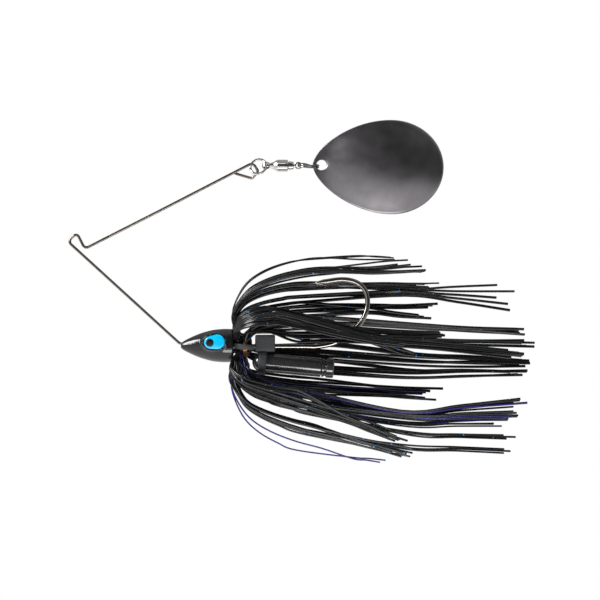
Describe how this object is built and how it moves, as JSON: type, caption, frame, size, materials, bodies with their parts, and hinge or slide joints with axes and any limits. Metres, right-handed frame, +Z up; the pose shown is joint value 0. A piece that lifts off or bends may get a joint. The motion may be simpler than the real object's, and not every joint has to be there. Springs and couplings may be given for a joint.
{
  "type": "spinnerbait",
  "caption": "Bent-wire fishing lure with a lead head, skirt, rattle and hook below, and a broad blade spinning on a ball-bearing swivel above.",
  "frame": {"origin": "inside the open bend of the wire where the line is tied", "axes": "+X back along the lure from the line tie to the skirt's tail, +Z up from the hook arm to the blade arm, +Y to the lure's right"},
  "size_m": [0.1453, 0.028, 0.106],
  "materials": {
    "wire": "dark bright-drawn spring wire",
    "lead": "gloss black paint over lead",
    "eye": "blue eye with a black pupil under gloss",
    "hook": "black nickel, bright edges",
    "swivel": "bright nickel plate",
    "blade": "black nickel, smooth and satin",
    "copper": "bare copper wire",
    "holder": "matt black rubber",
    "capsule": "gloss black",
    "shot": "polished steel shot",
    "silicone": "black silicone with fine blue flake",
    "silicone_blue": "dark blue silicone"
  },
  "bodies": {
    "lure": {"eye_left": "eye", "eye_right": "eye", "head": "lead", "hook": "hook", "rattle_cap": "capsule", "rattle_holder": "holder", "rattle_shell": "capsule", "skirt_binding": "copper", "skirt_core": "silicone", "skirt_lock_1": "silicone", "skirt_lock_10": "silicone", "skirt_lock_11": "silicone_blue", "skirt_lock_12": "silicone_blue", "skirt_lock_13": "silicone_blue", "skirt_lock_14": "silicone_blue", "skirt_lock_2": "silicone", "skirt_lock_3": "silicone", "skirt_lock_4": "silicone", "skirt_lock_5": "silicone", "skirt_lock_6": "silicone", "skirt_lock_7": "silicone", "skirt_lock_8": "silicone", "skirt_lock_9": "silicone", "skirt_tail_left_1": "silicone", "skirt_tail_left_2": "silicone", "skirt_tail_left_3": "silicone", "skirt_tail_left_4": "silicone", "skirt_tail_right_1": "silicone", "skirt_tail_right_2": "silicone", "skirt_tail_right_3": "silicone", "skirt_tail_right_4": "silicone", "wire_form": "wire"},
    "welded_ring": {"welded_ring": "swivel"},
    "swivel_body": {"swivel_barrel": "swivel", "swivel_collar": "swivel"},
    "swivel_spindle": {"swivel_shaft": "swivel"},
    "bearing_balls": {"bearing_ball_1": "swivel", "bearing_ball_2": "swivel", "bearing_ball_3": "swivel", "bearing_ball_4": "swivel", "bearing_ball_5": "swivel", "bearing_ball_6": "swivel"},
    "split_ring": {"split_ring": "swivel"},
    "blade": {"blade": "blade"},
    "rattle_shot": {"rattle_shot_1": "shot", "rattle_shot_2": "shot", "rattle_shot_3": "shot"}
  },
  "joints": [
    {"name": "ring_on_wire", "type": "hinge", "parent": "lure", "child": "welded_ring", "pos_m": [0.05683, -0.00006, 0.02265], "axis": [0.5246, 0.2469, -0.8147], "range_deg": [-34, 27]},
    {"name": "swivel_on_ring", "type": "hinge", "parent": "welded_ring", "child": "swivel_body", "pos_m": [0.05759, 0, 0.02294], "axis": [-0.2347, -0.8829, 0.4066], "range_deg": [-22, 90]},
    {"name": "swivel_spin", "type": "hinge", "parent": "swivel_body", "child": "swivel_spindle", "pos_m": [0.06007, -0.00054, 0.02319], "axis": [1, 0, 0], "continuous": true},
    {"name": "bearing_roll", "type": "hinge", "parent": "swivel_body", "child": "bearing_balls", "pos_m": [0.06007, -0.00054, 0.02319], "axis": [1, 0, 0], "continuous": true},
    {"name": "split_ring_on_eye", "type": "hinge", "parent": "swivel_spindle", "child": "split_ring", "pos_m": [0.07007, -0.00054, 0.02319], "axis": [0, -1, 0], "range_deg": [-28, 70]},
    {"name": "blade_on_split_ring", "type": "hinge", "parent": "split_ring", "child": "blade", "pos_m": [0.07322, -0.00054, 0.02319], "axis": [-0.0691, 0.1392, -0.9879], "range_deg": [-90, 90]},
    {"name": "rattle_shot_slide", "type": "slide", "parent": "lure", "child": "rattle_shot", "axis": [0.9959, 0, -0.0906], "range_m": [-0.0085, 0]}
  ],
  "couplings": [
    {"joint": "bearing_roll", "follows": "swivel_spin", "ratio": 0.5}
  ]
}
